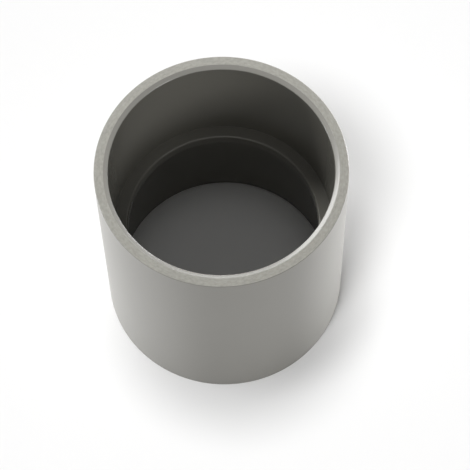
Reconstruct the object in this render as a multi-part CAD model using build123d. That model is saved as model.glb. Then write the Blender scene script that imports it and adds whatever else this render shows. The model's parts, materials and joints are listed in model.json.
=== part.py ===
from build123d import *
import os

# Straight coupling for grey plastic waste pipe, in millimetres.
# It is one moulding, open right through: a tube with a plain socket at each end, and a ring at
# mid-length that stops both pipes. It stands on one end face, with +Z along its axis and the
# origin at the centre of that face. Both ends are alike.

# Pipe and sockets
pipe_diameter = 43.0        # waste pipe that each socket takes
socket_clearance = 0.10     # gap between pipe and socket, on the radius
socket_depth = 24.55        # from an end face to the stop
wall_thickness = 2.65       # of the socket, outside its lead-in

# Lead-in bevel that guides the pipe into a mouth
lead_in_width = 0.90        # across the end face
lead_in_depth = 0.40        # along the socket

# Ring between the two pipe ends
stop_thickness = 2.60       # along the axis
stop_height = 2.60          # inwards from the socket's wall

# Edge radii
end_edge = 0.30             # outer edge of an end face
stop_edge = 0.30            # inner edges of the ring
sharp = 0                   # edges of a lead-in, and the corner where a socket meets the stop

# Sizes that follow
socket_radius = pipe_diameter / 2 + socket_clearance
outer_radius = socket_radius + wall_thickness
waterway_radius = socket_radius - stop_height
stop_face = stop_thickness / 2              # height of a stop face above mid-length
end_face = stop_face + socket_depth         # height of an end face above mid-length


def wall_section():
    # One side of the wall, cut along the axis: radius across, height above mid-length up.
    corners = [
        (waterway_radius, stop_face),
        (socket_radius, stop_face),
        (socket_radius, end_face - lead_in_depth),
        (socket_radius + lead_in_width, end_face),
        (outer_radius, end_face),
    ]
    edges = [stop_edge, sharp, sharp, sharp, end_edge]
    lower_corners = [(radius, -height) for radius, height in reversed(corners)]
    lower_edges = edges[::-1]
    outline = FilletPolyline(corners + lower_corners, radius=edges + lower_edges, close=True)
    return make_face(outline)


def coupling_body():
    # The section turned about the axis, with its lower end face on the ground.
    section_plane = Plane(origin=(0, 0, end_face), x_dir=(1, 0, 0), z_dir=(0, -1, 0))
    return revolve(section_plane * wall_section(), axis=Axis.Z)


os.makedirs("parts", exist_ok=True)
export_step(coupling_body(), "parts/coupling_body.step")
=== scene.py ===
import json
import math

import bpy
from mathutils import Matrix, Vector


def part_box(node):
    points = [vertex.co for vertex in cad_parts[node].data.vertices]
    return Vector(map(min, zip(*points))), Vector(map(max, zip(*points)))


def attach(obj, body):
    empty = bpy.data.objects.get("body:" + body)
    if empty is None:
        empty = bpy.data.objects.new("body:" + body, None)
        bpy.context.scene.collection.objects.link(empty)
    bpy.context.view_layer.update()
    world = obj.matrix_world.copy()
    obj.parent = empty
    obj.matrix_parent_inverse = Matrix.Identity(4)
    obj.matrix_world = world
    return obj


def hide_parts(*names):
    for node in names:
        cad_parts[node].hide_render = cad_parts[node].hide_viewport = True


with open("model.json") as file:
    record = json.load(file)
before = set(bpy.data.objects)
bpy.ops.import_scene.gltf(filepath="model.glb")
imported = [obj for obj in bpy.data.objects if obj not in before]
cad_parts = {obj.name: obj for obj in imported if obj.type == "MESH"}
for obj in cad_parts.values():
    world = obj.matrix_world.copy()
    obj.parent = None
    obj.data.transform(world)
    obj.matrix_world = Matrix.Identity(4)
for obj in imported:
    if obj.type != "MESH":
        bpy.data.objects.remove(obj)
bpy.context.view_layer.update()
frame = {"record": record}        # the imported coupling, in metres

print("frame loaded")


class Sock:
    # Wraps an output socket, so that sums and products on it add their Math nodes.
    def __init__(self, tree, link):
        self.tree = tree
        self.link = link

    def math(self, operation, *others):
        return self.tree.add("ShaderNodeMath", {"operation": operation}, [self, *others])

    def __add__(self, other):
        return self.math("ADD", other)

    def __sub__(self, other):
        return self.math("SUBTRACT", other)

    def __mul__(self, other):
        return self.math("MULTIPLY", other)

    def __truediv__(self, other):
        return self.math("DIVIDE", other)

    def __rsub__(self, other):
        return self.tree.add("ShaderNodeMath", {"operation": "SUBTRACT"}, [other, self])

    __radd__ = __add__

    def power(self, other):
        return self.math("POWER", other)

    def lowest(self, other):
        return self.math("MINIMUM", other)

    def highest(self, other):
        return self.math("MAXIMUM", other)

    def absolute(self):
        return self.math("ABSOLUTE")

    def step(self, low, high):
        # 0 below low, 1 above high, smooth between
        settings = {"interpolation_type": "SMOOTHSTEP"}
        values = {"Value": self, "From Min": low, "From Max": high}
        return self.tree.add("ShaderNodeMapRange", settings, values)


class Tree:
    def __init__(self, nodeTree):
        self.nodeTree = nodeTree

    def add(self, kind, settings=None, values=None, output=0):
        # One node: its type, its own settings, then the values or links of its sockets.
        node = self.nodeTree.nodes.new(kind)
        for name, value in (settings or {}).items():
            setattr(node, name, value)
        pairs = values.items() if isinstance(values, dict) else enumerate(values or [])
        for key, value in pairs:
            socket = node.inputs[key]
            if isinstance(value, Sock):
                self.nodeTree.links.new(value.link, socket)
            elif value is not None:
                socket.default_value = value
        return Sock(self, node.outputs[output]) if len(node.outputs) else node

    def split(self, vector):
        return [self.add("ShaderNodeSeparateXYZ", values=[vector], output=axis) for axis in "XYZ"]

    def join(self, x, y, z):
        return self.add("ShaderNodeCombineXYZ", values=[x, y, z])

    def noise(self, place, size, detail=2.0):
        # 0 to 1, with features about as wide as size
        values = {"Vector": place, "Scale": 1 / size, "Detail": detail}
        return self.add("ShaderNodeTexNoise", values=values)


# The coupling's wall
mm = 0.001
boxLow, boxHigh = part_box("coupling_body")
mounts = {mount["name"]: mount for mount in frame["record"]["mounts"]}

wallShape = {
    "outerRadius": boxHigh.x,
    "length": boxHigh.z - boxLow.z,
    "socketRadius": mounts["upper_socket"]["dims"]["r_mm"] * mm,
    "waterwayRadius": 19.0 * mm,
    "stopThickness": 2.6 * mm,
    "leadInWidth": 0.90 * mm,
    "leadInDepth": 0.43 * mm,
    "endEdge": 0.13 * mm,          # edge radii from here on
    "leadInEdge": 0.25 * mm,
    "rootCorner": 0.03 * mm,
    "stopEdge": 0.40 * mm,
    "segmentsAround": 256,
    "stepsInEdge": 6,
}


def wallTree():
    # The wall's section, with rounded corners, carried round the axis.
    tree = Tree(bpy.data.node_groups.new("turnedWall", "GeometryNodeTree"))
    face = tree.nodeTree.interface
    for name, value in wallShape.items():
        kind = "NodeSocketInt" if isinstance(value, int) else "NodeSocketFloat"
        face.new_socket(name, in_out="INPUT", socket_type=kind)
    face.new_socket("material", in_out="INPUT", socket_type="NodeSocketMaterial")
    face.new_socket("wall", in_out="OUTPUT", socket_type="NodeSocketGeometry")
    group = tree.nodeTree.nodes.new("NodeGroupInput")
    given = {socket.name: Sock(tree, socket) for socket in group.outputs if socket.name}

    middle = given["length"] / 2
    stopFace = given["stopThickness"] / 2
    endFace = middle
    # radius, height above mid-length, edge radius
    corners = [
        (given["waterwayRadius"], stopFace, given["stopEdge"]),
        (given["socketRadius"], stopFace, given["rootCorner"]),
        (given["socketRadius"], endFace - given["leadInDepth"], given["leadInEdge"]),
        (given["socketRadius"] + given["leadInWidth"], endFace, given["leadInEdge"]),
        (given["outerRadius"], endFace, given["endEdge"]),
    ]
    corners += [(radius, 0 - height, edge) for radius, height, edge in reversed(corners)]

    index = tree.add("GeometryNodeInputIndex")
    place = tree.nodeTree.nodes.new("GeometryNodeIndexSwitch")
    place.data_type = "VECTOR"
    rounding = tree.nodeTree.nodes.new("GeometryNodeIndexSwitch")
    rounding.data_type = "FLOAT"
    for switch in (place, rounding):
        while len(switch.index_switch_items) < len(corners):
            switch.index_switch_items.new()
        tree.nodeTree.links.new(index.link, switch.inputs[0])
    for number, (radius, height, edge) in enumerate(corners):
        corner = tree.add("ShaderNodeCombineXYZ", values=[radius - given["socketRadius"], height, 0.0])
        tree.nodeTree.links.new(corner.link, place.inputs[number + 1])
        tree.nodeTree.links.new(edge.link, rounding.inputs[number + 1])

    points = tree.add("GeometryNodePoints", values={
        "Count": len(corners), "Position": Sock(tree, place.outputs[0])})
    outline = tree.add("GeometryNodePointsToCurves", values={"Points": points})
    outline = tree.add("GeometryNodeSetSplineCyclic", values={"Geometry": outline, "Cyclic": True})
    outline = tree.add("GeometryNodeFilletCurve", {"mode": "POLY"}, {
        "Curve": outline, "Count": given["stepsInEdge"], "Radius": Sock(tree, rounding.outputs[0])})
    around = tree.add("GeometryNodeCurvePrimitiveCircle", values={
        "Resolution": given["segmentsAround"], "Radius": given["socketRadius"]})
    wall = tree.add("GeometryNodeCurveToMesh", values={"Curve": around, "Profile Curve": outline})
    wall = tree.add("GeometryNodeTransform", values={
        "Geometry": wall, "Translation": tree.add("ShaderNodeCombineXYZ", values=[0.0, 0.0, middle])})
    wall = tree.add("GeometryNodeFlipFaces", values={"Mesh": wall})
    wall = tree.add("GeometryNodeSetShadeSmooth", values={"Geometry": wall})
    wall = tree.add("GeometryNodeRealizeInstances", values={"Geometry": wall})
    wall = tree.add("GeometryNodeSetMaterial", values={"Geometry": wall, "Material": given["material"]})
    end = tree.nodeTree.nodes.new("NodeGroupOutput")
    tree.nodeTree.links.new(wall.link, end.inputs["wall"])
    return tree.nodeTree


def applyTree(name, nodeTree, values):
    # Runs a tree on an empty mesh and returns its result as a plain mesh object.
    blank = bpy.data.objects.new(name + "Maker", bpy.data.meshes.new(name + "Blank"))
    bpy.context.scene.collection.objects.link(blank)
    modifier = blank.modifiers.new("maker", "NODES")
    modifier.node_group = nodeTree
    for item in nodeTree.interface.items_tree:
        if item.in_out == "INPUT":
            modifier[item.identifier] = values[item.name]
    weight = blank.modifiers.new("flatFaces", "WEIGHTED_NORMAL")
    weight.weight = 100            # the most: large faces stay flat, and their edges take the bend
    graph = bpy.context.evaluated_depsgraph_get()
    mesh = bpy.data.meshes.new_from_object(blank.evaluated_get(graph), depsgraph=graph)
    mesh.name = name
    bpy.data.objects.remove(blank)
    piece = bpy.data.objects.new(name, mesh)
    bpy.context.scene.collection.objects.link(piece)
    return piece


# Plastic
plastic = {
    "finishesAndPaintedLight": {                  # colour, roughness, specular level
        "skin": ((0.205, 0.199, 0.180), 0.30, 0.25),
        # the bore's colour is the skin's made darker: painted shade inside the tube; its lower roughness is
        # the bore's own
        "bore": ((0.173, 0.168, 0.147), 0.16, 0.20),
        # the end faces' colour is the skin's made lighter: painted light, as on faces lit from above
        "endFace": ((0.292, 0.286, 0.254), 0.55, 0.50),
        # the bevel's colour is the skin's made a little lighter: painted light on the lead-in
        "bevel": ((0.221, 0.214, 0.190), 0.25, 0.90),
    },
    "grainSize": 0.30 * mm,        # mould texture of the skin
    "grainDepth": 0.0015 * mm,
    "markLength": 0.80 * mm,       # tool marks of the end faces, round the axis and across
    "markWidth": 0.40 * mm,
    "markDepth": 0.012 * mm,
    "markShade": 0.60,
    "cloudSize": 9 * mm,           # faint unevenness of the whole
    "cloudShade": 0.03,
    "endStart": 0.03 * mm,         # an end face's finish, with its painted light, starts and is full this far below it
    "endFull": 0.01 * mm,
    "boreEnd": 0.02 * mm,          # the bore's finish, with its painted shade, starts to fade and is gone this far into the wall
    "boreGone": 0.10 * mm,
    "bevelStart": 0.03 * mm,       # the bevel's finish, with its painted light, starts below its foot and is full above it
    "bevelFull": 0.01 * mm,
    "bevelFade": 0.10 * mm,        # and it ends over this width outside its top
}


def newMaterial(name):
    material = bpy.data.materials.new(name)
    material.use_nodes = True
    material.node_tree.nodes.clear()
    return material, Tree(material.node_tree)


def finishShader(tree, values, shade, normal):
    colour, roughness, specular = values
    tint = tree.add("ShaderNodeVectorMath", {"operation": "SCALE"}, {"Vector": colour, "Scale": shade})
    return tree.add("ShaderNodeBsdfPrincipled", values={
        "Base Color": tint, "Roughness": roughness, "Specular IOR Level": specular, "Normal": normal})


def plasticMaterial():
    material, tree = newMaterial("greyPlastic")
    place = tree.add("ShaderNodeTexCoord", output="Object")
    x, y, z = tree.split(place)
    out = (x * x + y * y).power(0.5)
    middle = wallShape["length"] / 2
    rise = (z - middle).absolute()
    bevelFoot = middle - wallShape["leadInDepth"]
    bevelTop = wallShape["socketRadius"] + wallShape["leadInWidth"]

    # onEnd is where the end faces' painted light goes
    onEnd = rise.step(middle - plastic["endStart"], middle - plastic["endFull"])
    boreWall = wallShape["socketRadius"]
    # inBore is where the bore's painted shade goes
    inBore = 1 - out.step(boreWall + plastic["boreEnd"], boreWall + plastic["boreGone"])
    # onBevel is where the bevel's painted light goes
    aboveFoot = rise.step(bevelFoot - plastic["bevelStart"], bevelFoot + plastic["bevelFull"])
    onBevel = aboveFoot * (1 - out.step(bevelTop, bevelTop + plastic["bevelFade"]))
    onBevel = onBevel * (1 - onEnd)

    around = tree.join(x / out * wallShape["outerRadius"], y / out * wallShape["outerRadius"],
                       out * (plastic["markLength"] / plastic["markWidth"]))
    marks = tree.noise(around, plastic["markLength"])
    grain = tree.noise(place, plastic["grainSize"])
    cloud = tree.noise(place, plastic["cloudSize"])

    shade = 1 + (marks - 0.5) * onEnd * plastic["markShade"] + (cloud - 0.5) * plastic["cloudShade"]
    height = grain * plastic["grainDepth"] + marks * onEnd * plastic["markDepth"]
    normal = tree.add("ShaderNodeBump", values={"Strength": 1.0, "Distance": 1.0, "Height": height})
    finish = {name: finishShader(tree, values, shade, normal)
              for name, values in plastic["finishesAndPaintedLight"].items()}
    # painted shade: the bore's darker colour inside the tube
    surface = tree.add("ShaderNodeMixShader", values=[inBore, finish["skin"], finish["bore"]])
    # painted light: the bevel's lighter colour
    surface = tree.add("ShaderNodeMixShader", values=[onBevel, surface, finish["bevel"]])
    # painted light: the end faces' lighter colour
    surface = tree.add("ShaderNodeMixShader", values=[onEnd, surface, finish["endFace"]])
    tree.add("ShaderNodeOutputMaterial", values={"Surface": surface})
    return material


body = applyTree("couplingWall", wallTree(), {**wallShape, "material": plasticMaterial()})
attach(body, "root")
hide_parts("coupling_body")
print("coupling made:", len(body.data.polygons), "faces")

# Floor and light
studio = {
    "floorColour": (0.85, 0.85, 0.85),
    "floorRadius": 3.0,            # metres
    "floorSteps": 128,
    "worldLight": 0.05,            # what the surroundings give to matte surfaces
    "sideColour": (0.97, 0.98, 1.03),   # the side lamps are a little cooler than the rest
    "nearColour": (1, 1, 1),
    "lampAway": 0.30,              # near lamps are discs at this distance from the coupling's middle
    "sideLamps": {                 # azimuth from +X towards +Y, elevation, width, watts
        "right": (30, 0, 0.08, 1.8),
        "rightBack": (60, 5, 0.15, 0.6),
        "left": (175, 0, 0.10, 1.2),
    },
    "nearLamps": {
        "overhead": (0, 90, 0.15, 0.07),
        "back": (90, 35, 0.15, 0.25),
        "backLeft": (120, 30, 0.15, 0.30),
        "frontLeft": (225, 20, 0.15, 0.08),
    },
    "suns": {                      # azimuth, elevation, spread, strength
        "backHigh": (135, 45, 15, 1.6),
        "front": (270, 30, 30, 0.35),
        "frontRight": (315, 25, 25, 1.0),
    },
    "floorSuns": {
        "floorBack": (105, 80, 15, 1.3),
        "floorLeft": (180, 80, 10, 0.7),
        "floorFront": (240, 65, 15, 1.6),
    },
}


def floorMaterial():
    material, tree = newMaterial("whiteFloor")
    matte = tree.add("ShaderNodeBsdfDiffuse", values={"Color": (*studio["floorColour"], 1)})
    tree.add("ShaderNodeOutputMaterial", values={"Surface": matte})
    return material


def circle(radius):
    turns = [2 * math.pi * step / studio["floorSteps"] for step in range(studio["floorSteps"])]
    return [(radius * math.cos(turn), radius * math.sin(turn), 0) for turn in turns]


def floorSheet(name, points, faces, paint):
    mesh = bpy.data.meshes.new(name)
    mesh.from_pydata(points, [], faces)
    mesh.materials.append(paint)
    sheet = bpy.data.objects.new(name, mesh)
    bpy.context.scene.collection.objects.link(sheet)
    return sheet


def makeFloor():
    # Two sheets that meet under the coupling's end face: the floor around it, and the floor inside it.
    steps = studio["floorSteps"]
    seam = circle((wallShape["socketRadius"] + wallShape["outerRadius"]) / 2)
    ring = [(i, steps + i, steps + (i + 1) % steps, (i + 1) % steps) for i in range(steps)]
    paint = floorMaterial()
    outer = floorSheet("floorAround", seam + circle(studio["floorRadius"]), ring, paint)
    inner = floorSheet("floorInside", seam, [tuple(range(steps))], paint)
    return outer, inner


def seenRays(tree):
    # 1 for the rays that show the surroundings, 0 for those that carry their light to matte surfaces
    names = ("Is Camera Ray", "Is Glossy Ray", "Is Transmission Ray", "Diffuse Depth")
    camera, glossy, through, bounces = [tree.add("ShaderNodeLightPath", output=name) for name in names]
    return camera.highest(glossy).highest(through) * (1 - bounces.lowest(1.0))


def makeWorld():
    # The surroundings look white, and light the object a little.
    world = bpy.data.worlds.new("studio")
    world.use_nodes = True
    world.node_tree.nodes.clear()
    tree = Tree(world.node_tree)
    strength = seenRays(tree) * (1 - studio["worldLight"]) + studio["worldLight"]
    light = tree.add("ShaderNodeBackground", values={"Color": (1, 1, 1, 1), "Strength": strength})
    tree.add("ShaderNodeOutputWorld", values={"Surface": light})
    bpy.context.scene.world = world


def placeLamp(lamp, azimuth, elevation, away, receivers):
    # Aims a lamp at the coupling's middle; only the receivers are lit by it.
    holder = bpy.data.objects.new(lamp.name, lamp)
    turn, tilt = math.radians(azimuth), math.radians(elevation)
    aim = Vector((math.cos(turn) * math.cos(tilt), math.sin(turn) * math.cos(tilt), math.sin(tilt)))
    holder.location = aim * away + Vector((0, 0, wallShape["length"] / 2))
    holder.rotation_euler = (-aim).to_track_quat("-Z", "Y").to_euler()
    holder.visible_camera = False
    holder.light_linking.receiver_collection = receivers
    bpy.context.scene.collection.objects.link(holder)


def addSuns(lamps, receivers):
    for name, (azimuth, elevation, spread, strength) in lamps.items():
        lamp = bpy.data.lights.new(name, "SUN")
        lamp.angle = math.radians(spread)
        lamp.energy = strength
        placeLamp(lamp, azimuth, elevation, studio["lampAway"], receivers)


def addNearLamps(lamps, receivers, colour):
    for name, (azimuth, elevation, width, power) in lamps.items():
        lamp = bpy.data.lights.new(name, "AREA")
        lamp.shape = "DISK"
        lamp.size = width
        lamp.energy = power
        lamp.color = colour
        placeLamp(lamp, azimuth, elevation, studio["lampAway"], receivers)


def lightGroup(name, pieces):
    receivers = bpy.data.collections.new(name)
    for piece in pieces:
        receivers.objects.link(piece)
    return receivers


def makeLamps(around, inside):
    # Light linking: one set of lamps for the coupling and the floor inside it, one for the floor around it.
    couplingLit = lightGroup("couplingLamps", [body, inside])
    addNearLamps(studio["sideLamps"], couplingLit, studio["sideColour"])
    addNearLamps(studio["nearLamps"], couplingLit, studio["nearColour"])
    addSuns(studio["suns"], couplingLit)
    addSuns(studio["floorSuns"], lightGroup("floorLamps", [around]))


# Camera
view = {
    "sensor": 36.0,                # mm, as the lens
    "lens": 174.4,
    "back": 7.75,                  # its place, in outer radii of the coupling
    "height": 18.16,
    "pan": 0.0122,                 # radians from here on
    "lookDown": 1.1495,
    "roll": -0.0237,
}


def makeCamera():
    camera = bpy.data.cameras.new("camera")
    camera.sensor_width = view["sensor"]
    camera.lens = view["lens"]
    holder = bpy.data.objects.new("camera", camera)
    bpy.context.scene.collection.objects.link(holder)
    turn = Matrix.Rotation(-view["pan"], 4, "Z")
    tip = Matrix.Rotation(math.pi / 2 - view["lookDown"], 4, "X")
    roll = Matrix.Rotation(view["roll"], 4, "Z")
    radius = wallShape["outerRadius"]
    place = Matrix.Translation((0, -view["back"] * radius, view["height"] * radius))
    holder.matrix_world = place @ turn @ tip @ roll
    bpy.context.scene.camera = holder


floorAround, floorInside = makeFloor()
makeWorld()
makeLamps(floorAround, floorInside)
print("floor and lamps made")
makeCamera()
bpy.context.scene.view_settings.view_transform = "Standard"
print("camera placed")
